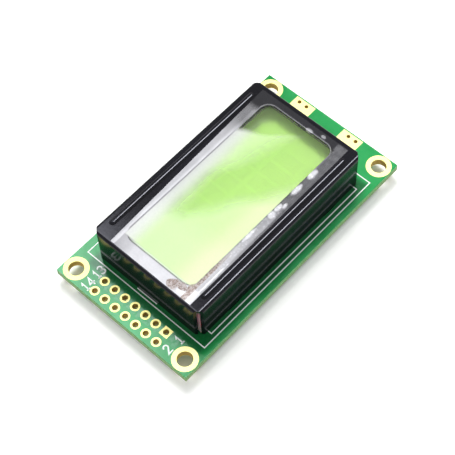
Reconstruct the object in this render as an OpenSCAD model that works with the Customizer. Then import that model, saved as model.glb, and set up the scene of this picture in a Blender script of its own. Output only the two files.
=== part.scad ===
// Character LCD module, 8 characters by 2 lines, yellow-green, on a drilled and plated board.
// A folded sheet-metal bezel clamps the glass cell, two rubber connector strips and an LED
// light box onto the board, and is held by six tabs that pass through the board and are twisted.
// Frame: +Z is the side that is read, +X runs along the long side away from the header.
// The origin is under the middle of the board, level with the ends of the twisted tabs.
// All dimensions are millimetres.

/* [Board] */
// Board length along X
board_l = 58; // [50:0.5:66]
// Board width along Y
board_w = 32; // [30:0.5:40]
// Board thickness
board_t = 1.6; // [1.2:0.1:2.0]
// Mounting hole radius
hole_r = 1.5; // [1.3:0.05:1.7]
// Width of the plated ring round a mounting hole
ring_w = 0.92; // [0.6:0.02:1.2]
// Distance of the rings from the board's edges
ring_edge = 0.08; // [0.04:0.02:0.6]

/* [Header] */
// Distance from one header hole to the next
pitch = 2.54; // [2.4:0.01:2.54]
// Distance of the outer header row from the board's short edge
header_edge = 1.52; // [1.3:0.02:1.8]
// Y of the middle of the header
header_y = 0.13; // [-0.2:0.01:0.2]
// Radius of a header hole
pin_r = 0.57; // [0.45:0.01:0.62]
// Radius of a header pad
pad_r = 0.92; // [0.8:0.02:1.0]

/* [Light supply pads] */
// Pad length along Y
supply_l = 4.6; // [4:0.1:5]
// Pad width along X
supply_w = 2.6; // [2.2:0.1:2.8]
// Gap between a pad and the board's short edge
supply_edge = 0.25; // [0.2:0.05:0.4]
// Distance from the pair's middle to the middle of each pad
supply_dy = 5.88; // [5.5:0.02:6]
// Radius of a wire hole
supply_r = 0.4; // [0.3:0.05:0.5]

/* [Bezel] */
// Distance from the board's short edges to the end walls
end_margin = 7.15; // [6.6:0.05:8]
// Distance from the board's long edges to the long walls
side_margin = 3.15; // [2.8:0.05:3.6]
// Height of the bezel face above the board
bezel_h = 8.7; // [8.4:0.1:10.5]
// Sheet thickness
sheet = 0.45; // [0.35:0.05:0.5]
// Outside radius of the folds
fold_r = 0.6; // [0.55:0.05:0.8]
// Distance from the end walls to the window
win_end = 2.85; // [2.6:0.05:4]
// Distance from the long walls to the window
win_side = 4.75; // [4.6:0.05:5.4]
// Window corner radius
win_r = 2; // [1:0.25:3]
// Height of the pressed ribs above the face
rib_h = 0.4; // [0.25:0.05:0.45]
// Width of the pressed ribs
rib_w = 1.3; // [1.1:0.1:1.5]
// Open gap of the corner seams, measured along each wall
seam = 0.9; // [0.6:0.1:1.0]
// How far the twisted tabs stand below the board
tab_drop = 1.9; // [1.5:0.1:2.6]
// Width of a tab
tab_w = 2.4; // [2:0.1:3]
// Twist of the tabs in degrees
tab_twist = 35; // [25:5:60]

/* [Cell and light box] */
// Thickness of each glass plate
glass_t = 1.1; // [0.9:0.1:1.2]
// Width of a rubber connector strip
strip_w = 2.2; // [2.0:0.1:2.3]
// Width of the front glass's free contact ledges, beside the narrower rear glass
contact_w = 2.9; // [2.7:0.1:3.2]
// Wall of the light box
box_wall = 1.2; // [1.1:0.1:1.3]
// Thickness of the milky light plate
plate_t = 2; // [1.5:0.25:2.5]
// Number of LED chips along X
led_n = 8; // [4:1:10]

/* [Back of the board] */
// Radius of the epoxy cap over the controller
cap_r = 7; // [6:0.5:8]
// Height of the epoxy cap
cap_h = 1.3; // [1.0:0.1:1.4]
// Side of the controller die
die_l = 3.2; // [2.5:0.1:4]

/* [Hidden] */
$fn = 48;
past = 1;                            // how far cutting tools run past a face

// heights of the board
zb = tab_drop;                       // underside
zt = zb + board_t;                   // top
mask_t = 0.04;                       // solder mask
cu_t = 0.05;                         // copper pads
barrel_t = 0.05;                     // plated wall of a hole
silk_t = 0.02;                       // printed legend
z_cu_t = zt - mask_t + cu_t;         // outer faces of the copper, top and back
z_cu_b = zb + mask_t - cu_t;

// plated holes and pads
ring_r = hole_r + ring_w;
hole_x = board_l / 2 - ring_r - ring_edge;
hole_y = board_w / 2 - ring_r - ring_edge;
header_n = 7;                        // holes in a row
header_rows = 2;
header_x = -board_l / 2 + header_edge + (header_rows - 1) * pitch;   // row nearest the bezel
supply_x = board_l / 2 - supply_edge - supply_w / 2;
supply_y = 0.32;                     // middle of the pair
supply_hole_x = 0.5;                 // the holes sit towards the board's edge
supply_hole_y = 0.26;                // and outwards on their pad
supply_hole_p = 0.88;                // half the distance between them

// bezel
hx = board_l / 2 - end_margin;
hy = board_w / 2 - side_margin;
ix = hx - sheet;
iy = hy - sheet;
fold_in = fold_r - sheet;
z_face = zt + bezel_h;               // outer face
z_in = z_face - sheet;               // inner face
win_l = 2 * (hx - win_end);
win_w = 2 * (hy - win_side);
win_dx = 0.25;                       // the window sits a little off centre
win_dy = -0.25;
rib_side = 1.78;                     // from the long wall to the middle of a rib
rib_end = 3.55;                      // from the end wall to the centre of its round end
rib_x = hx - rib_end;
rib_y = hy - rib_side;
rib_c = (rib_w * rib_w / 4 + rib_h * rib_h) / (2 * rib_h);   // radius of the rib's section
corner_cut = 0.35;                   // the face's corner is cut this much wider than the seam
tab_end = 8.85;                      // from the end wall to the tabs of the long walls
tab_x = hx - tab_end;                // each end wall has one more in its middle
tab_root = 0.5;                      // overlap of a tab with its wall
tab_neck = 0.3;                      // a tab turns this far below the board
slot_gap_w = 0.5;                    // a slot is this much wider than its tab, and thicker
slot_gap_t = 0.1;
slot_w = tab_w + slot_gap_w;
slot_t = sheet + slot_gap_t;

// legend
line_w = 0.22;                       // width of a printed line
frame_end = 0.76;                    // from the bezel to the printed outline
frame_side = 1.62;
frame_x = hx + frame_end;
frame_y = hy + frame_side;
frame_dx = -0.07;                    // its printing error
frame_dy = -0.12;
bracket_end = 2;                     // brackets along the long walls, from the end walls
bracket_side = 0.78;
bracket_x = hx - bracket_end;
bracket_y = hy + bracket_side;
dash_y = 2.43;                       // half length of the short lines beside the end walls
dash_gap = 0.06;
mark_t = 0.2;                        // ring round the epoxy cap
mark_gap = 0.75;
box_t = 0.15;                        // frames round the small parts
box_gap_x = 0.2;
box_gap_y = 0.2;

// protective film
film_t = 0.08;
film_gap = 0.05;                     // distance of its -Y edge from the rib's foot
film_skew = 1.72;                    // distance of its +Y edge from the rib's foot, header end
film_skew_far = 0.1;                 // and far end
film_end = 0.5;                      // distance of its far end from the fold

// glass cell, from the bezel down
pol_t = 0.2;
seal_t = 0.1;
seal_w = 0.8;
seal_in = 0.25;                      // the seal lies this far inside the rear glass's edges
pol_in = 0.6;                        // the polarisers, inside the glass and the strips
foam_over = 0.4;                     // the foam reaches this far past the strips
diff_t = 0.15;
glass_end = 0.5;                     // clearance from the glass to the walls
glass_side = 0.3;
gx = ix - glass_end;                 // half length of the glass
gy = iy - glass_side;                // half width of the front glass
ry = gy - contact_w;                 // half width of the rear glass
z_gf = z_in - pol_t;                 // top of the front glass
z_gf0 = z_gf - glass_t;
z_gr = z_gf0 - seal_t;               // top of the rear glass
z_gr0 = z_gr - glass_t;
z_rp = z_gr0 - pol_t;
z_df = z_rp - diff_t;
z_pl = z_df - plate_t;
gate_w = 2;                          // opening in the seal through which the cell is filled
plug_t = 0.3;                        // the plug closes it and stands this far out
plug_w = 3.2;
plug_over = 0.4;                     // and covers this much of each plate's edge

// connector strips
sy1 = gy;                            // outer and inner faces
sy0 = gy - strip_w;
skin_t = 0.8;                        // pink rubber on each side of the core
finger_p = 1;
finger_w = 0.6;
finger_end = 1.9;                    // free length at each end of a strip
finger_l = 2 * (gx - finger_end);
finger_n = round(finger_l / finger_p);
finger_gap = 0.1;                    // the fingers end this far inside the strip's faces

// light box
play = 0.1;                          // assembly clearance of what lies in it
box_end = 0.5;                       // clearance to the glass's ends
box_side = 0.2;                      // clearance to the connector strips
lbx = gx - box_end;
lby = sy0 - box_side;
cvx = lbx - box_wall;
cvy = lby - box_wall;
ledge = 0.9;                         // ledge that carries the light plate
led_board_t = 0.8;
led_l = 2;                           // LED package
led_w = 1.2;
led_h = 0.3;
lens_r = 0.5;
lens_h = 0.4;
led_y = 3.6;
led_end = 4;                         // free length at each end of a row
lead_end = 1.8;
lead_x = cvx - lead_end;
lead_y = 5.6;
lead_r = 0.3;
lead_gap = 0.15;
lead_up = 0.5;                       // stub above the LED board
lead_down = 1.1;                     // stub below the main board
joint_r = 0.9;                       // solder joint on its pad
joint_h = 0.75;
joint_tip = 0.12;                    // solder left round the lead at the joint's tip
top_joint_r = 0.7;                   // joint on the LED board
top_joint_h = 0.35;

// small parts on the back, each lying along X
chip_l = 1.4;                        // body between the end caps
chip_w = 1.24;
chip_end = 0.36;                     // length of an end cap
chip_pad_l = 1;
chip_pad_w = 1.4;
chip_pad_x = 1;
res_h = 0.5;
cond_h = 0.8;
res_n = 5;                           // resistors in a column beside the header
res_p = 3.2;
res_gap = 9.94;
res_x = header_x + res_gap;
res_pos = [for (i = [0:res_n - 1]) [res_x, (i - (res_n - 1) / 2) * res_p]];
cond_gap = 3.4;                      // capacitors in a column beside the leads
cond_p = 6.6;
cond_pos = [for (i = [-1:1]) [lead_x - cond_gap, i * cond_p]];
chip_pos = concat(res_pos, cond_pos);
die_t = 0.4;

// ---- shapes ----

// box between two X, two Y and two Z values
module slab(x0, x1, y0, y1, z0, z1) {
  translate([min(x0, x1), min(y0, y1), z0]) cube([abs(x1 - x0), abs(y1 - y0), z1 - z0]);
}

// box centred in X and Y, from its half lengths
module block(lx, ly, z0, z1) {
  slab(-lx, lx, -ly, ly, z0, z1);
}

module rod(x, y, r, z0, z1) {
  translate([x, y, z0]) cylinder(h = z1 - z0, r = r);
}

// upright plate with rounded corners
module rounded(lx, ly, r, z0, z1) {
  slab(-lx + r, lx - r, -ly, ly, z0, z1);
  slab(-lx, lx, -ly + r, ly - r, z0, z1);
  for (sx = [-1, 1]) for (sy = [-1, 1])
    rod(sx * (lx - r), sy * (ly - r), r, z0, z1);
}

// block whose two top edges along X are folded with radius r
module arch(lx, ly, z0, z1, r) {
  slab(-lx, lx, -ly, ly, z0, z1 - r);
  slab(-lx, lx, -ly + r, ly - r, z0, z1);
  for (s = [-1, 1])
    translate([-lx, s * (ly - r), z1 - r]) rotate([0, 90, 0]) cylinder(h = 2 * lx, r = r);
}

// block whose four top edges are folded
module folded(lx, ly, z0, z1, r) {
  intersection() {
    arch(lx, ly, z0, z1, r);
    rotate([0, 0, 90]) arch(ly, lx, z0, z1, r);
  }
}

// line frame of width w, centred on the rectangle of half lengths lx, ly
module outline(lx, ly, w, z0, z1) {
  difference() {
    block(lx + w / 2, ly + w / 2, z0, z1);
    block(lx - w / 2, ly - w / 2, z0 - past, z1 + past);
  }
}

// ---- places ----
module at_holes() {
  for (sx = [-1, 1]) for (sy = [-1, 1]) translate([sx * hole_x, sy * hole_y, 0]) children();
}

// all header holes but the first, whose pad is square
module at_round_pins() {
  for (i = [0:header_n - 1]) for (j = [0:header_rows - 1])
    if (i + j > 0)
      translate([header_x - j * pitch, header_y + (i - (header_n - 1) / 2) * pitch, 0]) children();
}

module at_first_pin() {
  translate([header_x, header_y - (header_n - 1) / 2 * pitch, 0]) children();
}

module at_backlight_pads() {
  for (s = [-1, 1]) translate([supply_x, supply_y + s * supply_dy, 0]) children();
}

module at_supply_holes() {
  for (s = [-1, 1]) for (k = [-1, 1])
    translate([supply_x + supply_hole_x,
               supply_y + s * (supply_dy + supply_hole_y) + k * supply_hole_p, 0]) children();
}

module at_leads() {
  for (s = [-1, 1]) translate([lead_x, s * lead_y, 0]) children();
}

module at_tabs() {
  for (sx = [-1, 1]) for (sy = [-1, 1])
    translate([sx * tab_x, sy * (hy - sheet / 2), 0]) children();
  for (s = [-1, 1]) translate([s * (hx - sheet / 2), 0, 0]) rotate([0, 0, 90]) children();
}

module at_chips(list) {
  for (p = list) translate([p[0], p[1], 0]) children();
}

module at_chip_pads(list) {
  at_chips(list) for (s = [-1, 1]) translate([s * chip_pad_x, 0, 0]) children();
}

// ---- board ----
module board_holes(grow) {
  at_holes() rod(0, 0, hole_r + grow, zb - past, zt + past);
  at_round_pins() rod(0, 0, pin_r + grow, zb - past, zt + past);
  at_first_pin() rod(0, 0, pin_r + grow, zb - past, zt + past);
  at_supply_holes() rod(0, 0, supply_r + grow, zb - past, zt + past);
  at_leads() rod(0, 0, lead_r + lead_gap, zb - past, zt + past);
  at_tabs() block(slot_w / 2, slot_t / 2, zb - past, zt + past);
}

module laminate() {
  color([0.62, 0.66, 0.30]) difference() {
    block(board_l / 2, board_w / 2, zb + mask_t, zt - mask_t);
    board_holes(barrel_t);
  }
}

module pad_openings() {
  at_holes() rod(0, 0, ring_r, zb - past, zt + past);
  at_round_pins() rod(0, 0, pad_r, zb - past, zt + past);
  at_first_pin() block(pad_r, pad_r, zb - past, zt + past);
  at_backlight_pads() block(supply_w / 2, supply_l / 2, zb - past, zt + past);
}

// lacquer on both sides, open over every pad
module solder_mask() {
  color([0.10, 0.55, 0.28]) {
    difference() {
      block(board_l / 2, board_w / 2, zt - mask_t, zt);
      board_holes(barrel_t);
      pad_openings();
      for (s = [-1, 1])
        slab(-finger_l / 2, finger_l / 2, s * (sy0 + finger_gap), s * (sy1 - finger_gap),
             zt - past, zt + past);
    }
    difference() {
      block(board_l / 2, board_w / 2, zb, zb + mask_t);
      board_holes(barrel_t);
      pad_openings();
      at_leads() rod(0, 0, joint_r, zb - past, zb + past);
      at_chip_pads(chip_pos) block(chip_pad_l / 2, chip_pad_w / 2, zb - past, zb + past);
    }
  }
}

// a pad on each side of the board, joined by the plated wall of its hole
module plated_round(r_pad, r_hole) {
  difference() {
    union() {
      rod(0, 0, r_pad, zt - mask_t, z_cu_t);
      rod(0, 0, r_pad, z_cu_b, zb + mask_t);
      rod(0, 0, r_hole + barrel_t, z_cu_b, z_cu_t);
    }
    rod(0, 0, r_hole, zb - past, zt + past);
  }
}

module mounting_rings() {
  color([0.93, 0.88, 0.55]) at_holes() plated_round(ring_r, hole_r);
}

module header_pads() {
  color([0.93, 0.88, 0.55]) {
    at_round_pins() plated_round(pad_r, pin_r);
    at_first_pin() difference() {
      union() {
        block(pad_r, pad_r, zt - mask_t, z_cu_t);
        block(pad_r, pad_r, z_cu_b, zb + mask_t);
        rod(0, 0, pin_r + barrel_t, z_cu_b, z_cu_t);
      }
      rod(0, 0, pin_r, zb - past, zt + past);
    }
  }
}

module backlight_pads() {
  color([0.93, 0.88, 0.55]) difference() {
    union() {
      at_backlight_pads() block(supply_w / 2, supply_l / 2, zt - mask_t, z_cu_t);
      at_backlight_pads() block(supply_w / 2, supply_l / 2, z_cu_b, zb + mask_t);
      at_supply_holes() rod(0, 0, supply_r + barrel_t, z_cu_b, z_cu_t);
    }
    at_supply_holes() rod(0, 0, supply_r, zb - past, zt + past);
  }
}

// gold contacts under the connector strips
module contact_fingers() {
  color([0.90, 0.80, 0.45]) for (s = [-1, 1]) for (i = [0:finger_n - 1])
    translate([(i - (finger_n - 1) / 2) * finger_p, 0, 0])
      slab(-finger_w / 2, finger_w / 2, s * (sy0 + finger_gap), s * (sy1 - finger_gap), zt - mask_t, z_cu_t);
}

module silkscreen() {
  color([0.93, 0.97, 0.93]) {
    translate([frame_dx, frame_dy, 0]) outline(frame_x, frame_y, line_w, zt, zt + silk_t);
    // brackets that end on the long walls, and a short line beside each end wall
    intersection() {
      outline(bracket_x, bracket_y, line_w, zt, zt + silk_t);
      for (s = [-1, 1]) slab(-hx, hx, s * hy, s * (hy + frame_y), zt, zt + silk_t);
    }
    for (s = [-1, 1])
      slab(s * (hx + dash_gap), s * (hx + dash_gap + line_w), -dash_y, dash_y, zt, zt + silk_t);
    // on the back: a ring round the epoxy cap and a frame round each small part
    difference() {
      rod(0, 0, cap_r + mark_gap + mark_t, zb - silk_t, zb);
      rod(0, 0, cap_r + mark_gap, zb - past, zb + past);
    }
    at_chips(chip_pos)
      outline(chip_pad_x + chip_pad_l / 2 + box_gap_x, chip_pad_w / 2 + box_gap_y, box_t, zb - silk_t, zb);
  }
}

// ---- bezel ----

// a pressed rib: a long low ridge with round ends, cut off below z_low
module rib(y, r, z_low) {
  intersection() {
    union() {
      translate([-rib_x, y, z_face + rib_h - rib_c]) rotate([0, 90, 0]) cylinder(h = 2 * rib_x, r = r);
      for (s = [-1, 1]) translate([s * rib_x, y, z_face + rib_h - rib_c]) sphere(r = r);
    }
    slab(-hx, hx, y - rib_w, y + rib_w, z_low, z_face + rib_h + past);
  }
}

// open seam between two walls, and the blunt corner of the face above it
module corner_seam(sx, sy) {
  slab(sx * (hx - seam), sx * (hx + past), sy * (hy - seam), sy * (hy + past), zt - past, z_in);
  translate([sx * hx, sy * hy, 0]) rotate([0, 0, 45])
    block((seam + corner_cut) / sqrt(2), (seam + corner_cut) / sqrt(2), zt - past, z_face + past);
}

module tab() {
  block(tab_w / 2, sheet / 2, zb - tab_neck, zt + tab_root);
  rotate([0, 0, tab_twist]) block(tab_w / 2, sheet / 2, 0, zb);
}

module bezel() {
  color([0.05, 0.05, 0.06]) union() {
    difference() {
      union() {
        folded(hx, hy, zt, z_face, fold_r);
        for (s = [-1, 1]) rib(s * rib_y, rib_c, z_in);
      }
      folded(ix, iy, zt - past, z_in, fold_in);
      translate([win_dx, win_dy, 0]) rounded(win_l / 2, win_w / 2, win_r, z_in - past, z_face + past);
      for (s = [-1, 1]) rib(s * rib_y, rib_c - sheet, z_in - past);
      for (sx = [-1, 1]) for (sy = [-1, 1]) corner_seam(sx, sy);
    }
    at_tabs() tab();
  }
}

// clear film on the face between the ribs, laid on slightly askew
module protective_film() {
  rib_foot = rib_y - rib_w / 2;
  color([0.85, 0.87, 0.92]) translate([0, 0, z_face]) linear_extrude(height = film_t)
    polygon([[-hx + fold_r, -rib_foot + film_gap], [hx - fold_r - film_end, -rib_foot + film_gap],
             [hx - fold_r - film_end, rib_foot - film_skew_far], [-hx + fold_r, rib_foot - film_skew]]);
}

// ---- glass cell ----

// foam between the bezel and the front glass, over the connector strips
module pressure_strips() {
  color([0.12, 0.12, 0.13]) for (s = [-1, 1])
    slab(-gx, gx, s * (sy0 - foam_over), s * gy, z_gf, z_in);
}

module front_polariser() {
  color([0.70, 0.80, 0.55]) block(gx - pol_in, sy0 - pol_in, z_gf, z_in);
}

module front_glass() {
  color([0.75, 0.85, 0.75]) block(gx, gy, z_gf0, z_gf);
}

// ring between the two plates, open at the filling gate
module cell_seal() {
  color([0.80, 0.80, 0.70]) difference() {
    block(gx - seal_in, ry - seal_in, z_gr, z_gf0);
    block(gx - seal_in - seal_w, ry - seal_in - seal_w, z_gr - past, z_gf0 + past);
    slab(0, gx + past, -gate_w / 2, gate_w / 2, z_gr - past, z_gf0 + past);
  }
}

module fill_plug() {
  color([0.90, 0.88, 0.75]) slab(gx, gx + plug_t, -plug_w / 2, plug_w / 2,
                                    z_gr - plug_over, z_gf0 + plug_over);
}

module rear_glass() {
  color([0.72, 0.84, 0.72]) block(gx, ry, z_gr0, z_gr);
}

module rear_polariser() {
  color([0.66, 0.86, 0.30]) block(gx - pol_in, ry - seal_in, z_rp, z_gr0);
}

// connector strips between the glass ledges and the board: a core between two pink skins
module connector_rubber() {
  color([0.93, 0.55, 0.62]) for (s = [-1, 1]) {
    slab(-gx, gx, s * sy0, s * (sy0 + skin_t), z_cu_t, z_gf0);
    slab(-gx, gx, s * (sy1 - skin_t), s * sy1, z_cu_t, z_gf0);
  }
}

module connector_cores() {
  color([0.15, 0.14, 0.15]) for (s = [-1, 1])
    slab(-gx, gx, s * (sy0 + skin_t), s * (sy1 - skin_t), z_cu_t, z_gf0);
}

// ---- light box ----
module diffuser() {
  color([0.95, 0.96, 0.92]) block(cvx - play, cvy - play, z_df, z_rp);
}

module light_plate() {
  color([0.88, 0.94, 0.80]) block(cvx - play, cvy - play, z_pl, z_df);
}

// white frame: the diffuser and the light plate lie in its top, the LED board in its foot
module light_box() {
  color([0.93, 0.93, 0.90]) difference() {
    block(lbx, lby, zt, z_rp);
    block(cvx, cvy, z_pl, z_rp + past);
    block(cvx, cvy, zt - past, zt + led_board_t);
    block(cvx - ledge, cvy - ledge, zt - past, z_pl + past);
  }
}

module led_board() {
  color([0.92, 0.93, 0.88]) difference() {
    block(cvx - play, cvy - play, zt, zt + led_board_t);
    at_leads() rod(0, 0, lead_r, zt - past, zt + led_board_t + past);
  }
}

module led_chips() {
  led_p = 2 * (cvx - led_end) / led_n;
  led_z = zt + led_board_t;
  color([0.95, 0.93, 0.60]) for (i = [0:led_n - 1]) for (s = [-1, 1])
    translate([(i - (led_n - 1) / 2) * led_p, s * led_y, led_z]) union() {
      block(led_l / 2, led_w / 2, 0, led_h);
      rod(0, 0, lens_r, led_h, led_h + lens_h);
    }
}

module led_leads() {
  color([0.80, 0.80, 0.82]) at_leads() rod(0, 0, lead_r, zb - lead_down, zt + led_board_t + lead_up);
}

// solder round the light box leads: a joint on the back, one on the LED board
module lead_solder() {
  color([0.78, 0.78, 0.80]) at_leads() {
    difference() {
      union() {
        translate([0, 0, zb - joint_h]) cylinder(h = joint_h, r1 = lead_r + joint_tip, r2 = joint_r);
        rod(0, 0, joint_r, zb, zb + mask_t);
        rod(0, 0, lead_r + lead_gap, zb, zt);
      }
      rod(0, 0, lead_r, zb - joint_h - past, zt + past);
    }
    translate([0, 0, zt + led_board_t]) difference() {
      cylinder(h = top_joint_h, r1 = top_joint_r, r2 = lead_r + joint_tip);
      rod(0, 0, lead_r, -past, past);
    }
  }
}

// ---- back of the board ----
module chip_pads() {
  color([0.80, 0.80, 0.82])
    at_chip_pads(chip_pos) block(chip_pad_l / 2, chip_pad_w / 2, z_cu_b, zb + mask_t);
}

module chip_resistors() {
  color([0.08, 0.08, 0.09]) at_chips(res_pos) block(chip_l / 2, chip_w / 2, z_cu_b - res_h, z_cu_b);
}

module chip_capacitors() {
  color([0.66, 0.52, 0.38]) at_chips(cond_pos) block(chip_l / 2, chip_w / 2, z_cu_b - cond_h, z_cu_b);
}

// tinned end caps of the small parts
module end_caps(list, h) {
  at_chips(list) for (s = [-1, 1]) translate([s * (chip_l + chip_end) / 2, 0, 0])
    block(chip_end / 2, chip_w / 2, z_cu_b - h, z_cu_b);
}

module chip_ends() {
  color([0.82, 0.82, 0.84]) {
    end_caps(res_pos, res_h);
    end_caps(cond_pos, cond_h);
  }
}

// shallow dome over the controller
module epoxy_cap() {
  dome_r = (cap_r * cap_r + cap_h * cap_h) / (2 * cap_h);
  color([0.07, 0.07, 0.08]) translate([0, 0, zb]) difference() {
    intersection() {
      translate([0, 0, dome_r - cap_h]) sphere(r = dome_r, $fn = 360);
      block(cap_r + past, cap_r + past, -cap_h - past, 0);
    }
    block(die_l / 2, die_l / 2, -die_t, past);
  }
}

module controller_die() {
  color([0.45, 0.47, 0.52]) translate([0, 0, zb]) block(die_l / 2, die_l / 2, -die_t, 0);
}

laminate();
solder_mask();
silkscreen();
mounting_rings();
header_pads();
backlight_pads();
contact_fingers();
bezel();
protective_film();
pressure_strips();
front_polariser();
front_glass();
cell_seal();
fill_plug();
rear_glass();
rear_polariser();
connector_rubber();
connector_cores();
diffuser();
light_plate();
light_box();
led_board();
led_chips();
led_leads();
lead_solder();
chip_pads();
chip_resistors();
chip_capacitors();
chip_ends();
epoxy_cap();
controller_die();
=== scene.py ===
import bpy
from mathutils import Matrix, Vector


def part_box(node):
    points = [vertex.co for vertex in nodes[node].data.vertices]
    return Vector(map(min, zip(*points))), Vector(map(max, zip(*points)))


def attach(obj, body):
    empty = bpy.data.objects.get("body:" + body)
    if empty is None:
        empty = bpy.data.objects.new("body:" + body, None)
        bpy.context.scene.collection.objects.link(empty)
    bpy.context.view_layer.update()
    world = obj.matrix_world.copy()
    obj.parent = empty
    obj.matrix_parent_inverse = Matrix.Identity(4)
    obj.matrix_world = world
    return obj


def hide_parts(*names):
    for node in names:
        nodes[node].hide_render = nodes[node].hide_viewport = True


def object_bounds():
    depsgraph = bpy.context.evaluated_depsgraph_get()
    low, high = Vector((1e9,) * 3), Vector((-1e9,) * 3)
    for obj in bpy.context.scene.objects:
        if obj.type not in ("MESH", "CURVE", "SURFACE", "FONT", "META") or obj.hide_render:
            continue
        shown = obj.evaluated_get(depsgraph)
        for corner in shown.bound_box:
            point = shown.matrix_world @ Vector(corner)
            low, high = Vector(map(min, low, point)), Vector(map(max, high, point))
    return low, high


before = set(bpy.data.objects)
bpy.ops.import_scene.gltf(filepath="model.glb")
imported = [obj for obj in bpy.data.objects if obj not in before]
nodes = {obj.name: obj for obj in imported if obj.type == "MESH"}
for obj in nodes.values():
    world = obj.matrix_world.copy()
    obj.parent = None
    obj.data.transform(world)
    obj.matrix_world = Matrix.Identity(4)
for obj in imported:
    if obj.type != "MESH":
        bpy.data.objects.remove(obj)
CAD_BOX = [list(v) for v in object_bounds()]

import math

import bmesh
import bpy
from mathutils import Matrix, Vector, noise

MM = 0.001
scene = bpy.context.scene

# ---- places, all taken from the frame ----

board_lo, board_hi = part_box("laminate")
mask_lo, mask_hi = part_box("solder_mask")
film_lo, film_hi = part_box("protective_film")
pads_lo, pads_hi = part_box("header_pads")
joint_lo, joint_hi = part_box("lead_solder")
INK_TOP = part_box("silkscreen")[1].z / MM
CAP_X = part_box("epoxy_cap")[1].x / MM
TOP, UNDER = mask_hi.z / MM, mask_lo.z / MM          # the lacquered faces of the board, in millimetres
PITCH = 2.54                                         # of the header


# ---- a small kit for shader trees ----

# sockets of the Mix node when it mixes colours, which share their names with those of other types
MIX_FACTOR, MIX_A, MIX_B, MIX_RESULT = 0, 6, 7, 2


class Tree:
    """Builds one material's nodes. Every number is in millimetres of object space."""

    def __init__(self, name):
        self.m = bpy.data.materials.new(name)
        self.m.use_nodes = True
        self.t = self.m.node_tree
        self.b = self.t.nodes["Principled BSDF"]
        self.out = self.t.nodes["Material Output"]
        coord = self.t.nodes.new("ShaderNodeTexCoord")
        scale = self.t.nodes.new("ShaderNodeVectorMath")
        scale.operation = "SCALE"
        self.t.links.new(coord.outputs["Object"], scale.inputs[0])
        scale.inputs["Scale"].default_value = 1 / MM
        self.p = scale.outputs[0]

    def put(self, socket, v):
        """Joins v to the socket, or sets the socket where v is a number or a colour."""
        if isinstance(v, bpy.types.NodeSocket):
            self.t.links.new(v, socket)
        elif hasattr(v, "__len__") and len(v) == 3 and socket.type == "RGBA":
            socket.default_value = (*v, 1)
        else:
            socket.default_value = v

    def set(self, **values):
        """Fills the shader's own sockets, with _ for each space in their names."""
        for k, v in values.items():
            self.put(self.b.inputs[k.replace("_", " ")], v)
        return self

    def math(self, op, a, b=0.0):
        n = self.t.nodes.new("ShaderNodeMath")
        n.operation = op
        self.put(n.inputs[0], a)
        self.put(n.inputs[1], b)
        return n.outputs[0]

    def field(self, name):
        """A number that the mesh holds at each of its points."""
        n = self.t.nodes.new("ShaderNodeAttribute")
        n.attribute_name = name
        return n.outputs["Fac"]

    def add(self, a, b): return self.math("ADD", a, b)
    def sub(self, a, b): return self.math("SUBTRACT", a, b)
    def mul(self, a, b): return self.math("MULTIPLY", a, b)
    def low(self, a, b): return self.math("MINIMUM", a, b)
    def top(self, a, b): return self.math("MAXIMUM", a, b)

    def xyz(self):
        n = self.t.nodes.new("ShaderNodeSeparateXYZ")
        self.put(n.inputs[0], self.p)
        return n.outputs

    def stretch(self, x, y, z):
        """The point with its axes scaled, for a grain that runs one way."""
        n = self.t.nodes.new("ShaderNodeVectorMath")
        n.operation = "MULTIPLY"
        self.put(n.inputs[0], self.p)
        n.inputs[1].default_value = (x, y, z)
        return n.outputs[0]

    def noise(self, scale, detail=2.0, rough=0.5, v=None):
        n = self.t.nodes.new("ShaderNodeTexNoise")
        n.inputs["Scale"].default_value = scale
        n.inputs["Detail"].default_value = detail
        n.inputs["Roughness"].default_value = rough
        self.put(n.inputs["Vector"], self.p if v is None else v)
        return n.outputs[0]

    def cells(self, scale, feature="F1", random=1.0):
        n = self.t.nodes.new("ShaderNodeTexVoronoi")
        n.feature = feature
        n.inputs["Scale"].default_value = scale
        n.inputs["Randomness"].default_value = random
        self.put(n.inputs["Vector"], self.p)
        return n.outputs["Distance"]

    def ramp(self, v, lo, hi, a=0.0, b=1.0):
        """a where v is lo, b where it is hi, smooth between. hi may be the lower one."""
        n = self.t.nodes.new("ShaderNodeMapRange")
        n.interpolation_type = "SMOOTHSTEP"
        self.put(n.inputs["Value"], v)
        for k, x in (("From Min", lo), ("From Max", hi), ("To Min", a), ("To Max", b)):
            self.put(n.inputs[k], x)
        return n.outputs[0]

    def rough(self, v, low, high):
        """A roughness that wanders with a noise."""
        return self.ramp(v, 0.3, 0.7, low, high)

    def mix(self, f, a, b):
        n = self.t.nodes.new("ShaderNodeMix")
        n.data_type = "RGBA"
        self.put(n.inputs[MIX_FACTOR], f)
        self.put(n.inputs[MIX_A], a)
        self.put(n.inputs[MIX_B], b)
        return n.outputs[MIX_RESULT]

    def box(self, x0, x1, y0, y1, soft):
        """1 inside a rectangle of X and Y, falling off over soft millimetres at its edges."""
        at = self.xyz()
        x, y = at["X"], at["Y"]
        e = self.low(self.low(self.sub(x, x0), self.sub(x1, x)), self.low(self.sub(y, y0), self.sub(y1, y)))
        return self.ramp(e, -soft, soft)

    def bump(self, height, strength, distance=0.05):
        """height is in units of distance, which is in millimetres."""
        n = self.t.nodes.new("ShaderNodeBump")
        n.inputs["Strength"].default_value = strength
        n.inputs["Distance"].default_value = distance * MM
        self.put(n.inputs["Height"], height)
        self.put(self.b.inputs["Normal"], n.outputs[0])
        return self


def use(name, *objects):
    """Gives a material to CAD nodes or pieces."""
    m = mats[name]
    for o in objects:
        o = nodes[o] if isinstance(o, str) else o
        o.data.materials.clear()
        o.data.materials.append(m)


mats = {}


def material(name):
    """Makes a material with the function that follows it."""
    def keep(make):
        t = Tree(name)
        make(t)
        mats[name] = t.m
        return make
    return keep


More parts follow.
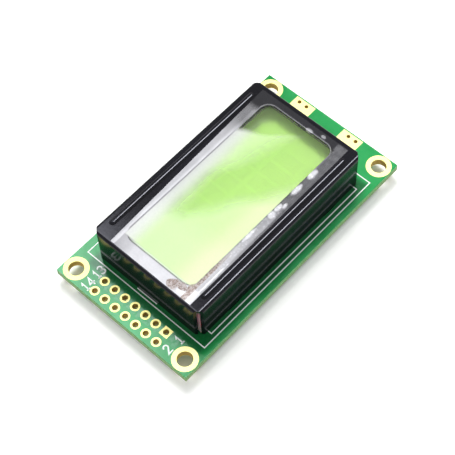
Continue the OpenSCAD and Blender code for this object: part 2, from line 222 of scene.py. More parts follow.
LACQUER_GLOSS = {"IOR": 1.45, "Specular_IOR_Level": 0.28}


@material("solder_mask")
def _(t):
    z = t.xyz()["Z"]
    broad = t.noise(0.10, 3)
    fine = t.noise(2.2, 4, 0.6)
    deep, mid = (0.009, 0.31, 0.068), (0.024, 0.41, 0.105)
    c = t.mix(t.ramp(broad, 0.35, 0.65), deep, mid)
    # copper under the lacquer round the header shows as a paler, greyer green
    pour = t.mul(t.box(-26.2, -23.6, -10.6, 9.0, 0.35), t.ramp(t.noise(1.1, 3, 0.6), 0.36, 0.60))
    c = t.mix(t.mul(pour, 0.50), c, (0.14, 0.46, 0.26))
    # painted shade: the lacquer is darker under the display and past the steel on the near end and the
    # low-Y side, where the walls shadow the board and hide its sheen
    painted_wall_shade = t.mul(t.box(-24.4, 22.0, -14.8, 12.8, 0.7), t.ramp(z, TOP - 0.30, TOP - 0.10))
    c = t.mix(t.mul(painted_wall_shade, 0.72), c, (0.002, 0.085, 0.020))
    grain = t.ramp(fine, 0.40, 0.72)
    c = t.mix(t.mul(grain, 0.10), c, (0.05, 0.45, 0.16))
    specks = t.ramp(t.cells(1.3), 0.060, 0.030)
    c = t.mix(t.mul(specks, 0.25), c, (0.25, 0.50, 0.30))
    t.set(Base_Color=c, Roughness=t.rough(fine, 0.07, 0.14), **LACQUER_GLOSS)
    ripple = t.add(t.mul(t.noise(1.6, 2), 0.7), t.mul(t.noise(7.0, 2), 0.3))
    t.bump(ripple, 0.22, 0.05)


@material("covered_copper")
def _(t):
    """A track under the lacquer, which shows paler than the board round it does."""
    fine = t.noise(2.2, 4, 0.6)
    c = t.mix(t.ramp(fine, 0.35, 0.70), (0.075, 0.46, 0.16), (0.14, 0.56, 0.22))
    t.set(Base_Color=c, Roughness=t.rough(fine, 0.07, 0.14), **LACQUER_GLOSS)
    t.bump(t.add(t.mul(t.noise(1.6, 2), 0.7), t.mul(t.noise(7.0, 2), 0.3)), 0.35, 0.06)


@material("laminate")
def _(t):
    z = t.xyz()["Z"]
    ply = t.math("SINE", t.mul(t.add(z, t.mul(t.noise(0.8, 2), 0.12)), 34.0))
    weft = t.noise(1.0, 3, 0.6, t.stretch(9, 9, 1.5))
    c = t.mix(t.ramp(ply, -0.6, 0.9), (0.16, 0.44, 0.13), (0.30, 0.58, 0.22))
    c = t.mix(t.mul(t.ramp(weft, 0.45, 0.75), 0.40), c, (0.56, 0.72, 0.42))
    # browner towards the underside
    c = t.mix(t.mul(t.ramp(z, 2.50, 2.05), 0.7), c, (0.36, 0.30, 0.12))
    t.set(Base_Color=c, Roughness=t.rough(weft, 0.55, 0.85))
    t.bump(t.add(t.mul(weft, 0.7), t.mul(ply, 0.15)), 0.6, 0.08)


@material("legend")
def _(t):
    n = t.noise(6.0, 3, 0.65)
    c = t.mix(t.ramp(n, 0.30, 0.55), (0.80, 0.96, 0.86), (0.94, 1.0, 0.96))
    holes = t.ramp(t.cells(2.6), 0.10, 0.05)
    c = t.mix(t.mul(holes, 0.55), c, (0.10, 0.45, 0.20))
    t.set(Base_Color=c, Roughness=0.55)
    t.bump(n, 0.4, 0.02)


@material("plating")
def _(t):
    z = t.xyz()["Z"]
    n = t.noise(4.0, 4, 0.6)
    scratch = t.noise(1.0, 3, 0.6, t.stretch(1.2, 9.0, 3.0))
    c = t.mix(t.ramp(n, 0.35, 0.7), (0.86, 0.81, 0.26), (0.92, 0.88, 0.36))
    c = t.mix(t.mul(t.ramp(scratch, 0.60, 0.75), 0.35), c, (0.80, 0.62, 0.28))
    # painted shade down the holes: their plated walls are darker and browner inside the board
    inside = t.mul(t.ramp(z, 1.92, 2.15), t.ramp(z, 3.47, 3.20))
    c = t.mix(t.mul(inside, 0.85), c, (0.62, 0.41, 0.12))
    t.set(Base_Color=c, Metallic=0.30, Roughness=t.rough(n, 0.36, 0.52), Specular_IOR_Level=0.2)
    t.bump(t.add(t.mul(n, 0.6), t.mul(scratch, 0.4)), 0.35, 0.03)


@material("black_steel")
def _(t):
    z = t.xyz()["Z"]
    peel = t.noise(1.9, 2, 0.5)
    peel2 = t.noise(5.0, 3, 0.6)
    dust = t.ramp(t.cells(0.55), 0.035, 0.020)
    broad = t.noise(0.07, 2)
    c = t.mix(t.ramp(broad, 0.3, 0.7), (0.0014, 0.0014, 0.0044), (0.0036, 0.0036, 0.0090))
    c = t.mix(t.mul(dust, 0.35), c, (0.20, 0.20, 0.20))
    # faint draw marks down the walls, where the sheet was folded
    wall = t.ramp(z, 12.05, 11.6)
    marks = t.noise(1.0, 3, 0.6, t.stretch(3.5, 3.5, 0.10))
    c = t.mix(t.mul(t.mul(wall, t.ramp(marks, 0.55, 0.75)), 0.30), c, (0.035, 0.040, 0.040))
    t.set(Base_Color=c, Roughness=t.rough(peel2, 0.09, 0.15), IOR=1.28)
    t.bump(t.add(t.mul(peel, 0.75), t.mul(peel2, 0.25)), 0.16, 0.03)


@material("black_foam")
def _(t):
    n = t.cells(5.0)
    t.set(Base_Color=t.mix(n, (0.006, 0.006, 0.007), (0.03, 0.03, 0.033)), Roughness=0.92)
    t.bump(n, 0.8, 0.10)


@material("polariser")
def _(t):
    at = t.xyz()
    grain = t.noise(14.0, 3, 0.6)
    c = t.mix(t.ramp(grain, 0.35, 0.65), (0.60, 0.80, 0.34), (0.70, 0.86, 0.45))
    # the unlit cells of 8 by 2 characters, 5 by 8 dots each, just show in the liquid crystal
    step_x, step_y, half_x, half_y = 3.5, 6.2, 14.0, 6.2
    u = t.math("FRACT", t.mul(t.add(at["X"], half_x), 1 / step_x))
    v = t.math("FRACT", t.mul(t.add(at["Y"], half_y), 1 / step_y))
    du, dv = t.math("FRACT", t.mul(u, 6.0)), t.math("FRACT", t.mul(v, 9.4))
    dot = t.mul(t.mul(t.ramp(du, 0.05, 0.12), t.ramp(du, 0.95, 0.88)),
                t.mul(t.ramp(dv, 0.05, 0.12), t.ramp(dv, 0.95, 0.88)))
    area = t.mul(t.mul(t.ramp(u, 0.833, 0.830), t.ramp(v, 0.852, 0.849)),
                 t.box(-half_x, half_x, -half_y, half_y, 0.02))
    pix = t.mul(dot, area)
    c = t.mix(t.mul(pix, 0.35), c, (0.36, 0.50, 0.20))
    t.set(Base_Color=c, Roughness=t.rough(grain, 0.22, 0.34), Specular_IOR_Level=0.25,
          Alpha=t.add(0.06, t.mul(pix, 0.03)))
    t.bump(grain, 0.15, 0.01)


@material("cell_glass")
def _(t):
    at = t.xyz()
    edge = t.top(t.ramp(t.math("ABSOLUTE", at["X"]), 20.75, 20.88),
                 t.ramp(t.math("ABSOLUTE", at["Y"]), 12.0, 12.08))
    n = t.noise(3.0, 3)
    c = t.mix(edge, (0.80, 0.92, 0.84), (0.30, 0.55, 0.42))
    t.set(Base_Color=c, Roughness=0.03, IOR=1.52, Specular_IOR_Level=0.08,
          Alpha=t.add(t.add(0.012, t.mul(n, 0.012)), t.mul(edge, 0.4)))
    t.bump(n, 0.02, 0.02)


@material("seal")
def _(t):
    n = t.noise(2.5, 4, 0.6)
    t.set(Base_Color=t.mix(n, (0.55, 0.55, 0.42), (0.80, 0.80, 0.68)), Roughness=t.rough(n, 0.35, 0.6))
    t.bump(n, 0.5, 0.1)


@material("rear_film")
def _(t):
    grain = t.noise(10.0, 4, 0.7)
    broad = t.noise(0.08, 2)
    c = t.mix(t.ramp(broad, 0.3, 0.7), (0.345, 0.700, 0.030), (0.400, 0.750, 0.050))
    c = t.mix(t.mul(t.ramp(grain, 0.4, 0.7), 0.25), c, (0.50, 0.83, 0.11))
    t.set(Base_Color=c, Roughness=t.rough(grain, 0.38, 0.55))
    t.bump(grain, 0.25, 0.02)


@material("pink_silicone")
def _(t):
    z = t.xyz()["Z"]
    n = t.noise(1.5, 3)
    c = t.mix(t.ramp(n, 0.35, 0.65), (0.97, 0.42, 0.48), (1.0, 0.58, 0.62))
    # painted light: the rubber is paler towards its foot, near the board
    c = t.mix(t.ramp(z, 7.0, 3.6), c, (1.0, 0.84, 0.84))
    c = t.mix(t.ramp(t.noise(6.0, 2), 0.62, 0.75), c, (0.86, 0.20, 0.28))
    t.set(Base_Color=c, Roughness=0.42, Subsurface_Weight=0.25, Subsurface_Scale=0.001)
    t.bump(n, 0.2, 0.05)


@material("core_silicone")
def _(t):
    pitch = 0.1                       # of its conducting layers
    layer = t.math("SINE", t.mul(t.xyz()["X"], 2 * math.pi / pitch))
    c = t.mix(t.ramp(layer, -0.3, 0.3), (0.010, 0.010, 0.012), (0.30, 0.10, 0.10))
    t.set(Base_Color=c, Roughness=0.6)
    t.bump(layer, 0.2, 0.01)


@material("white_film")
def _(t):
    n = t.noise(9.0, 3)
    t.set(Base_Color=t.mix(n, (0.84, 0.86, 0.80), (0.94, 0.95, 0.91)), Roughness=t.rough(n, 0.5, 0.7))
    t.bump(n, 0.2, 0.01)


@material("milky_acrylic")
def _(t):
    n = t.noise(0.8, 3)
    t.set(Base_Color=t.mix(n, (0.78, 0.86, 0.66), (0.90, 0.95, 0.82)), Roughness=t.rough(n, 0.18, 0.3),
          Subsurface_Weight=0.3, Subsurface_Scale=0.002)
    t.bump(n, 0.1, 0.02)


@material("white_abs")
def _(t):
    n = t.noise(6.0, 4, 0.6)
    t.set(Base_Color=t.mix(n, (0.78, 0.78, 0.73), (0.88, 0.88, 0.84)), Roughness=t.rough(n, 0.42, 0.55))
    t.bump(n, 0.3, 0.03)


@material("led_board")
def _(t):
    n = t.noise(3.0, 4, 0.6)
    trace = t.ramp(t.math("ABSOLUTE", t.sub(t.math("FRACT", t.mul(t.xyz()[1], 0.28)), 0.5)), 0.10, 0.08)
    c = t.mix(t.mul(trace, 0.5), t.mix(n, (0.78, 0.80, 0.74), (0.90, 0.91, 0.87)), (0.70, 0.72, 0.62))
    t.set(Base_Color=c, Roughness=0.4)
    t.bump(t.add(n, trace), 0.2, 0.03)


@material("led_body")
def _(t):
    n = t.noise(3.0, 3)
    t.set(Base_Color=t.mix(n, (0.86, 0.84, 0.40), (0.95, 0.94, 0.66)), Roughness=t.rough(n, 0.1, 0.22),
          Coat_Weight=0.5)
    t.bump(n, 0.1, 0.02)


@material("tin")
def _(t):
    n = t.noise(5.0, 4, 0.6)
    draw = t.noise(1.0, 2, 0.5, t.stretch(12, 12, 1))
    t.set(Base_Color=t.mix(n, (0.62, 0.62, 0.62), (0.83, 0.83, 0.84)), Metallic=1.0,
          Roughness=t.rough(n, 0.22, 0.42))
    t.bump(t.add(t.mul(n, 0.5), t.mul(draw, 0.5)), 0.3, 0.03)


@material("solder")
def _(t):
    n = t.noise(2.2, 4, 0.6)
    flux = t.ramp(t.noise(1.2, 3), 0.58, 0.72)
    c = t.mix(t.ramp(n, 0.3, 0.7), (0.66, 0.66, 0.67), (0.86, 0.86, 0.87))
    c = t.mix(t.mul(flux, 0.35), c, (0.55, 0.42, 0.20))
    t.set(Base_Color=c, Metallic=0.95, Roughness=t.rough(n, 0.14, 0.34))
    t.bump(n, 0.35, 0.05)


@material("resistor_body")
def _(t):
    z = t.xyz()["Z"]
    n = t.noise(5.0, 3)
    top = t.ramp(z, 1.52, 1.48)
    glaze = t.mix(n, (0.008, 0.008, 0.010), (0.022, 0.022, 0.026))
    c = t.mix(top, t.mix(n, (0.62, 0.62, 0.60), (0.74, 0.74, 0.72)), glaze)
    t.set(Base_Color=c, Roughness=t.rough(n, 0.22, 0.38))
    t.bump(n, 0.3, 0.03)


@material("capacitor_body")
def _(t):
    n = t.noise(7.0, 4, 0.65)
    c = t.mix(t.ramp(n, 0.3, 0.7), (0.34, 0.20, 0.11), (0.52, 0.35, 0.22))
    t.set(Base_Color=c, Roughness=t.rough(n, 0.32, 0.5))
    t.bump(n, 0.3, 0.03)


@material("black_epoxy")
def _(t):
    n = t.noise(0.9, 4, 0.55)
    fine = t.noise(6.0, 3)
    pores = t.ramp(t.cells(0.9), 0.07, 0.03)
    c = t.mix(t.ramp(n, 0.3, 0.7), (0.010, 0.010, 0.012), (0.026, 0.026, 0.028))
    t.set(Base_Color=c, Roughness=t.rough(n, 0.27, 0.38), Coat_Weight=0.25, Coat_Roughness=0.18)
    t.bump(t.sub(t.add(t.mul(n, 0.8), t.mul(fine, 0.1)), t.mul(pores, 0.8)), 0.5, 0.25)


@material("silicon")
def _(t):
    n = t.cells(4.0, random=0.2)
    t.set(Base_Color=t.mix(n, (0.20, 0.22, 0.28), (0.40, 0.42, 0.48)), Metallic=0.6, Roughness=0.25)


FILM_FIELDS = ("haze_and_glare", "air", "stain", "green_glow", "warm")


@material("film")
def _(t):
    """The sheet is seen where it is milky or carries painted glare, holds air or is dirty, and is clear
    elsewhere.
    """
    haze_and_glare, air, stain, green_glow, warm = (t.field(k) for k in FILM_FIELDS)
    fine = t.noise(2.6, 4, 0.6)
    dust = t.noise(9.0, 3, 0.7)
    pebble = t.ramp(t.cells(2.3, "SMOOTH_F1"), 0.42, 0.18)
    speck = t.ramp(dust, 0.42, 0.62)
    trapped = t.mul(air, t.add(0.66, t.mul(pebble, 0.34)))
    dirt = t.mul(stain, t.add(0.55, t.mul(speck, 0.45)))
    milk_and_glare = t.mul(haze_and_glare, t.add(0.94, t.mul(fine, 0.12)))
    dense = t.low(t.add(t.add(milk_and_glare, t.mul(trapped, 0.9)), t.mul(dirt, 0.85)), 0.97)
    c = t.mix(fine, (0.84, 0.84, 0.90), (0.93, 0.93, 0.96))
    # painted light: over the window the milky sheet is given the green of the display behind it, paler on
    # the low-Y side
    c = t.mix(green_glow, c, t.mix(warm, (0.82, 0.97, 0.62), (0.96, 0.98, 0.66)))
    brown = t.mix(t.ramp(t.noise(3.2, 4, 0.7), 0.42, 0.58), (0.62, 0.55, 0.53), (0.30, 0.21, 0.17))
    c = t.mix(t.ramp(stain, 0.05, 0.50), c, brown)
    t.set(Base_Color=c, Roughness=t.ramp(dense, 0.0, 0.8, 0.26, 0.46), IOR=1.45, Alpha=t.top(dense, 0.03))
    t.bump(t.add(t.mul(t.mul(air, pebble), 0.8), t.mul(dust, 0.05)), 0.5, 0.12)


SLOTS = {
    "laminate": ["laminate"], "solder_mask": ["solder_mask"], "legend": ["silkscreen"],
    "plating": ["mounting_rings", "header_pads", "backlight_pads", "contact_fingers"],
    "black_steel": ["bezel"], "black_foam": ["pressure_strips"],
    "polariser": ["front_polariser"], "cell_glass": ["front_glass", "rear_glass"],
    "seal": ["cell_seal", "fill_plug"], "rear_film": ["rear_polariser"],
    "pink_silicone": ["connector_rubber"], "core_silicone": ["connector_cores"],
    "white_film": ["diffuser"], "milky_acrylic": ["light_plate"], "white_abs": ["light_box"],
    "led_board": ["led_board"], "led_body": ["led_chips"], "tin": ["led_leads", "chip_ends"],
    "solder": ["lead_solder", "chip_pads"], "resistor_body": ["chip_resistors"],
    "capacitor_body": ["chip_capacitors"], "black_epoxy": ["epoxy_cap"], "silicon": ["controller_die"],
}
for slot, members in SLOTS.items():
    use(slot, *members)


# ---- pieces ----

def piece(name, bm, slot, mat=None, smooth=False):
    """A finished mesh of the scene's own, riding on the one body."""
    me = bpy.data.meshes.new(name)
    bmesh.ops.recalc_face_normals(bm, faces=bm.faces)
    bm.to_mesh(me)
    bm.free()
    me.transform(Matrix.Scale(MM, 4))
    if smooth:
        me.polygons.foreach_set("use_smooth", [True] * len(me.polygons))
    o = bpy.data.objects.new(name, me)
    scene.collection.objects.link(o)
    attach(o, "root")
    use(mat or slot, o)
    return o


def stroke(bm, points, width, z0, z1, bevel=0.25, caps=6):
    """A raised line along a path of X and Y, with rounded ends and sloping sides, from z0 to z1.

    bevel is the share of its half width that the sides slope in, and caps the number of steps round an end.
    """
    pts = [Vector((x, y)) for x, y in points]
    r = width / 2

    def ring(offset, z):
        left, right = [], []
        n = len(pts)
        for i, p in enumerate(pts):
            a = (p - pts[i - 1]).normalized() if i else None
            b = (pts[i + 1] - p).normalized() if i < n - 1 else None
            d = (a + b).normalized() if a and b else (a or b)
            m = Vector((-d.y, d.x))
            k = 1 / max(0.4, m.dot(Vector((-b.y, b.x)))) if a and b else 1
            left.append(p + m * offset * k)
            right.append(p - m * offset * k)
        d0, d1 = (pts[0] - pts[1]).normalized(), (pts[-1] - pts[-2]).normalized()
        m0, m1 = Vector((-d0.y, d0.x)), Vector((-d1.y, d1.x))
        arc = [math.pi * k / caps for k in range(1, caps)]
        start = [pts[0] + (m0 * math.cos(a) + d0 * math.sin(a)) * offset for a in arc]
        end = [pts[-1] + (m1 * math.cos(a) + d1 * math.sin(a)) * offset for a in arc]
        loop = left + end + right[::-1] + start
        return [bm.verts.new((q.x, q.y, z)) for q in loop]

    foot, head = ring(r, z0), ring(r * (1 - bevel), z1)
    n = len(foot)
    for i in range(n):
        bm.faces.new((foot[i], foot[(i + 1) % n], head[(i + 1) % n], head[i]))
    k = len(pts)
    lt, rt = head[:k], head[k + caps - 1:2 * k + caps - 1][::-1]
    lb, rb = foot[:k], foot[k + caps - 1:2 * k + caps - 1][::-1]
    for i in range(k - 1):
        bm.faces.new((lt[i], rt[i], rt[i + 1], lt[i + 1]))
        bm.faces.new((lb[i], lb[i + 1], rb[i + 1], rb[i]))
    e_t, s_t = head[k:k + caps - 1], head[2 * k + caps - 1:]
    e_b, s_b = foot[k:k + caps - 1], foot[2 * k + caps - 1:]
    bm.faces.new([lt[-1]] + e_t + [rt[-1]])
    bm.faces.new([rt[0]] + s_t + [lt[0]])
    bm.faces.new([rb[-1]] + e_b[::-1] + [lb[-1]])
    bm.faces.new([lb[0]] + s_b[::-1] + [rb[0]])


def arc(cx, cy, rx, ry, a0, a1, n=9):
    """Points along an ellipse from a0 to a1 degrees."""
    return [(cx + rx * math.cos(math.radians(a0 + (a1 - a0) * i / n)),
             cy + ry * math.sin(math.radians(a0 + (a1 - a0) * i / n))) for i in range(n + 1)]


# pin numbers: one-stroke digits, H high and about 1 wide
H, DIGIT_WIDTH = 1.70, 0.30                # the second is the width of the stroke
DIGITS = {
    "1": [[(-0.26, H - 0.36), (0.0, H), (0.0, 0.0)], [(-0.28, 0.0), (0.28, 0.0)]],
    "2": [arc(0, H - 0.46, 0.44, 0.46, 165, -25) + [(-0.46, 0.0), (0.48, 0.0)]],
    "3": [arc(0, H - 0.41, 0.42, 0.41, 150, -80) + [(-0.05, H - 0.82)]
          + arc(0, 0.46, 0.48, 0.46, 80, -150)],
    "4": [[(0.22, 0.0), (0.22, H), (-0.48, 0.48), (0.50, 0.48)]],
}
PIN_NUMBERS = (("1", -24.90, 9.03), ("3", -23.70, 9.03),          # 13
               ("1", -27.97, 8.80), ("4", -26.65, 8.80),          # 14
               ("1", -24.45, -11.05), ("2", -27.15, -10.75))
for i, (d, x, y) in enumerate(PIN_NUMBERS):
    bm = bmesh.new()
    for s in DIGITS[d]:
        stroke(bm, [(x + a, y + b) for a, b in s], DIGIT_WIDTH, TOP - 0.002, INK_TOP)
    piece(f"pin_number_{i + 1}_{d}", bm, "legend")


# ---- copper tracks under the lacquer of the underside ----

def via(bm, x, y, r=0.36, n=14):
    """A plated hole that the lacquer has filled: a low ring with a dimple."""
    turns = [2 * math.pi * k / n for k in range(n)]
    rings = []
    for radius, drop in ((r, -0.002), (r * 0.72, 0.018), (r * 0.36, 0.018), (r * 0.18, 0.006)):
        rings.append([bm.verts.new((x + radius * math.cos(a), y + radius * math.sin(a), UNDER - drop))
                      for a in turns])
    for a, b in zip(rings, rings[1:]):
        for k in range(n):
            bm.faces.new((a[k], a[(k + 1) % n], b[(k + 1) % n], b[k]))
    bm.faces.new(rings[-1])
    bm.faces.new(rings[0][::-1])


def on_cap(angle, r):
    """A point round the epoxy cap's middle, at an angle in degrees."""
    return (r * math.cos(math.radians(angle)), r * math.sin(math.radians(angle)))


CAP_R = CAP_X - 0.15                       # tracks run in under the cap's foot
PAD_R = 0.92                               # of a header pad
ROW_OUT, ROW_IN = pads_lo.x / MM + PAD_R, pads_hi.x / MM - PAD_R         # X of the header's two rows
PIN_0 = pads_lo.y / MM + PAD_R                                           # Y of their first holes
track_bm = bmesh.new()


def track(points, width=0.22):
    """Adds a copper track, which stands a little proud of the lacquered underside."""
    stroke(track_bm, points, width, UNDER + 0.002, UNDER - 0.015, bevel=0.2, caps=4)


# header to controller: five through the resistors, the rest between and round them
LANES = (-8.3, -6.4, -5.1, -4.5, -3.2, -1.9, -1.3, 0.0, 1.3, 1.9, 3.2, 4.8, 6.4, 8.3)
RESISTORS = (-6.4, -3.2, 0.0, 3.2, 6.4)
for i, lane in enumerate(LANES):
    y = PIN_0 + PITCH * (i // 2)
    if i % 2:
        start = [(ROW_OUT + 0.8, y), (ROW_OUT + 1.35, y + PITCH / 2), (ROW_IN + 1.2, y + PITCH / 2)]
        y += PITCH / 2
    else:
        start = [(ROW_IN + 0.8, y), (ROW_IN + 1.3, y)]
    from_middle = i - (len(LANES) - 1) / 2
    knee = ROW_IN + 2.4 + 0.16 * abs(from_middle)
    bend = knee + abs(lane - y) + 0.3
    end = on_cap(180 - 6.0 * from_middle, CAP_R)
    if lane in RESISTORS:
        track(start + [(knee, y), (bend, lane), (-16.4, lane)])
        track([(-13.6, lane), (-12.6, lane), end])
    else:
        track(start + [(knee, y), (bend, lane), (-12.9, lane), end])
# controller to the rows of contacts on the other face, through two rows of vias a side
FAN = 24                                   # tracks a side
for side in (-1, 1):
    for k in range(FAN):
        from_middle = k - (FAN - 1) / 2
        x = from_middle * 1.02
        far = 9.35 + 0.95 * (k % 2)
        angle = 90 - from_middle * 4.0
        out = on_cap(angle, 8.35)
        route = (on_cap(angle, CAP_R), out, (x, max(out[1] + 0.2, 8.75)), (x, far))
        track([(a, side * b) for a, b in route], 0.18)
        via(track_bm, x, side * far)
# supply: capacitors, lamp leads and the two pads at the far end
JOINT_X, JOINT_Y = (joint_lo.x + joint_hi.x) / 2 / MM, joint_hi.y / MM - 0.9
for k, y in enumerate((-6.6, 0.0, 6.6)):
    track([(12.6, y), (11.6, y), on_cap((k - 1) * 30, CAP_R)], 0.35)
    track([(15.3, y), (16.2, y), (19.6, y * 0.55), (19.6, 0.0)] if y else [(15.3, y), (19.6, y)], 0.35)
for y, far in ((-JOINT_Y, -5.56), (JOINT_Y, 6.2)):
    track([(JOINT_X + 0.8, y), (21.0, y), (22.0, far), (26.3, far)], 0.90)
# the ground along each long edge joins the mounting rings
EDGE_Y = 15.1
for side in (-1, 1):
    track([(-23.9, side * 14.6), (-22.8, side * EDGE_Y), (22.8, side * EDGE_Y), (23.9, side * 14.6)], 0.70)
    for k in range(9):
        via(track_bm, -21.6 + 5.4 * k, side * EDGE_Y, 0.30)
piece("back_tracks", track_bm, "solder_mask", "covered_copper")


# ---- the protective film, as the thin wrinkled sheet that it is ----

def soft(v, a, b):
    """0 at a and before it, 1 at b and past it, smooth between. It falls where a is above b."""
    t = min(1.0, max(0.0, (v - a) / (b - a)))
    return t * t * (3 - 2 * t)


def lump(x, y, cx, cy, rx, ry, most=1.0):
    """most inside an uneven oval, 0 outside."""
    wob = 0.30 * noise.noise(Vector((x * 1.3, y * 1.3, cx)))
    d = math.hypot((x - cx) / rx, (y - cy) / ry) + wob
    return most * soft(d, 1.35, 0.65)


WX, WY = 0.25, -0.25                       # middle of the window
# middle, half lengths along X and Y, and where it is faint its strength
BLISTERS = [(-4.3, -8.75, 1.7, 0.40), (1.3, -9.0, 0.9, 0.62), (3.2, -8.9, 0.9, 0.45), (4.2, -9.5, 0.6, 0.3),
            (8.2, -8.85, 1.3, 0.50), (12.5, -8.85, 1.3, 0.50), (19.4, -2.3, 0.42, 0.65, 0.5),
            (20.0, -5.1, 0.30, 0.50, 0.5), (-20.6, -8.3, 0.45, 1.3), (-16.0, -9.9, 4.5, 0.22)]
STAINS = [(-20.2, -5.3, 0.95, 1.0), (-19.5, -6.9, 0.65, 1.0), (-18.6, -8.3, 1.1, 0.55)]


def glare(x, y):
    """How far painted glare, laid on the film as milkiness, covers the window: all but a leaf along the
    middle and a far corner.
    """
    n = 1.2 * noise.noise(Vector((x * 0.16, y * 0.16, 3.0)))
    upper = min(4.7 - 0.30 * x, 4.0 + 0.25 * (x + 8.9))
    leaf = soft(min(upper - y, y - (-3.4 - 0.68 * x), 0.8 * (x + 8.6)) + n, -2.6, 3.0)
    corner = soft(x - (11.4 + (7 - y) * 0.62) + n, -0.8, 0.9)
    return 1 - max(leaf, corner)


def film_fields(x, y):
    """Milkiness with painted glare, air, stain, painted green glow, warmth and height in millimetres at a
    point of the film.
    """
    ax, ay = abs(x - WX), abs(y - WY)
    face = max(soft(ay, 8.0, 8.25), soft(ax, 18.6, 18.9))             # 1 on the steel, 0 over the window
    n1 = noise.noise(Vector((x * 0.35, y * 0.5, 0.0)))
    n2 = noise.noise(Vector((x * 1.1, y * 1.4, 5.0)))

    # over the window, milkiness and painted glare, thicker at the near end and along both long sides
    near, top, low = soft(x, -6.0, -13.0), soft(y, 3.5, 7.0), soft(y, -3.5, -7.5)
    pane = glare(x, y) * (0.42 + 0.10 * near + 0.26 * top + 0.14 * low) + 0.01
    # painted green glow from the display: none on the steel, less towards the window's high-Y and far edges
    green_glow = (1 - face) * (1 - 0.80 * soft(y, 4.2, 7.4)) * (1 - 0.55 * soft(x, 15.6, 17.6))
    warm = soft(y, -1.5, -6.5) * (1 - 0.6 * soft(x, 2.0, 9.0))

    # on the steel, milkiness and painted glare: a band along the far long side, one at the near end, a thin
    # one along the near long side
    length = 0.60 * soft(x, 13.5, 8.0) + 0.40 * soft(x, 18.0, 15.6)
    left = soft(y, 7.6, 8.0) * length * (1.40 - 0.38 * soft(y, 8.2, 8.9))
    end = soft(x, -18.3, -18.7)
    rim = max(left * (0.56 + 0.10 * n1), end * (0.78 + 0.12 * n1 - 0.30 * soft(y, 3.0, 7.5)))
    side = soft(y, -8.05, -8.25)
    stuck = soft(x, 21.2, 20.2)
    rim = max(rim, side * (0.15 + 0.25 * soft(x, 3, -14) + 0.05 * n2) * stuck)
    rim = max(rim, 0.03 * stuck)

    # the film bridges the step of the window's edge: a clear line round the near half, and round the far
    # one a bright line of milkiness that is a painted highlight of the window's edge.
    # edge is the distance from the rectangle that the window's corners turn about.
    flat_x, flat_y = ax - 17.0, ay - 6.1
    edge = math.hypot(flat_x, flat_y) if flat_x > 0 and flat_y > 0 else max(flat_x, flat_y)
    step = soft(abs(edge - 2.10), 0.22, 0.06)
    rim *= 1 - 0.75 * step * soft(x, 12.0, 8.0)
    edge_highlight = soft(abs(edge - 2.12), 0.16, 0.04) * soft(x, 10.0, 14.0)
    haze_and_glare = max(pane * (1 - face) + rim * face, 0.30 * edge_highlight)
    air = 0.0
    for b in BLISTERS:
        air = max(air, lump(x, y, *b))
    air = max(air, side * soft(y, -10.1, -9.6) * soft(x, 7.0, -1.0) * 0.36)
    stain = side * soft(y, -9.3, -8.9) * soft(x, -6.0, -14.0) * 0.55
    for b in STAINS:
        stain = max(stain, lump(x, y, *b))
    air *= face
    stain *= max(face, 0.35)
    haze_and_glare *= 1 - 0.75 * stain
    wave = 0.030 * n1 + 0.012 * n2
    ridge = 0.05 * soft(abs(y - 8.15 - 0.15 * n1), 0.5, 0.0) + 0.04 * soft(abs(x + 18.6), 0.5, 0.0)
    h = wave + ridge + 0.11 * air + 0.05 * stain * (1 + n2)
    return haze_and_glare, air, stain, green_glow, warm, h


film_bm = bmesh.new()
layers = [film_bm.verts.layers.float.new(k) for k in FILM_FIELDS]
# the sheet lies askew: its edge of high Y runs from y_near at the near end to y_far at the far one
corners = [v.co for v in nodes["protective_film"].data.vertices]
x0, x1 = film_lo.x / MM, film_hi.x / MM
y0 = film_lo.y / MM
y_near = min(v.y for v in corners if v.x < film_lo.x + MM and v.y > 0) / MM
y_far = film_hi.y / MM
NX, NY = 300, 140                          # points along X and Y
z_sheet = (film_lo.z + 0.35 * (film_hi.z - film_lo.z)) / MM
rows = []
for i in range(NX + 1):
    x = x0 + (x1 - x0) * i / NX
    y_top = y_near + (y_far - y_near) * i / NX
    row = []
    for j in range(NY + 1):
        y = y0 + (y_top - y0) * j / NY
        *fields, h = film_fields(x, y)
        v = film_bm.verts.new((x, y, z_sheet + max(0.0, h + 0.02)))
        for layer, value in zip(layers, fields):
            v[layer] = value
        row.append(v)
    rows.append(row)
for i in range(NX):
    for j in range(NY):
        film_bm.faces.new((rows[i][j], rows[i + 1][j], rows[i + 1][j + 1], rows[i][j + 1]))
film = piece("film_sheet", film_bm, "film", smooth=True)
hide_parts("protective_film")
film.visible_shadow = False                 # the milky sheet passes its light on to the display under it


# ---- floor, camera, light ----

FLOOR_HALF = 1500                          # half a side, in millimetres
FLOOR_GAP = 0.00002                        # metres below the tab ends, so that the faces don't meet
FLOOR_GLOW = 0.36                          # lifts the floor to white for the rays that see it
GLOW_CUT = 0.9                             # share of it taken back under the board, a painted shadow there
bm = bmesh.new()
bmesh.ops.create_grid(bm, x_segments=1, y_segments=1, size=FLOOR_HALF)
me = bpy.data.meshes.new("floor")
bm.to_mesh(me)
bm.free()
me.transform(Matrix.Scale(MM, 4))
floor = bpy.data.objects.new("floor", me)
scene.collection.objects.link(floor)
floor.location.z = CAD_BOX[0][2] - FLOOR_GAP

t = Tree("floor")
n = t.noise(0.02, 2)
t.set(Base_Color=t.mix(n, (0.845, 0.85, 0.84), (0.86, 0.86, 0.85)), Roughness=0.75, Specular_IOR_Level=0.1)
ray = t.t.nodes.new("ShaderNodeLightPath").outputs
seen = t.top(t.top(ray["Is Camera Ray"], ray["Is Glossy Ray"]), ray["Is Transmission Ray"])
glow = t.t.nodes.new("ShaderNodeEmission")
glow.inputs["Color"].default_value = (1, 1, 1, 1)
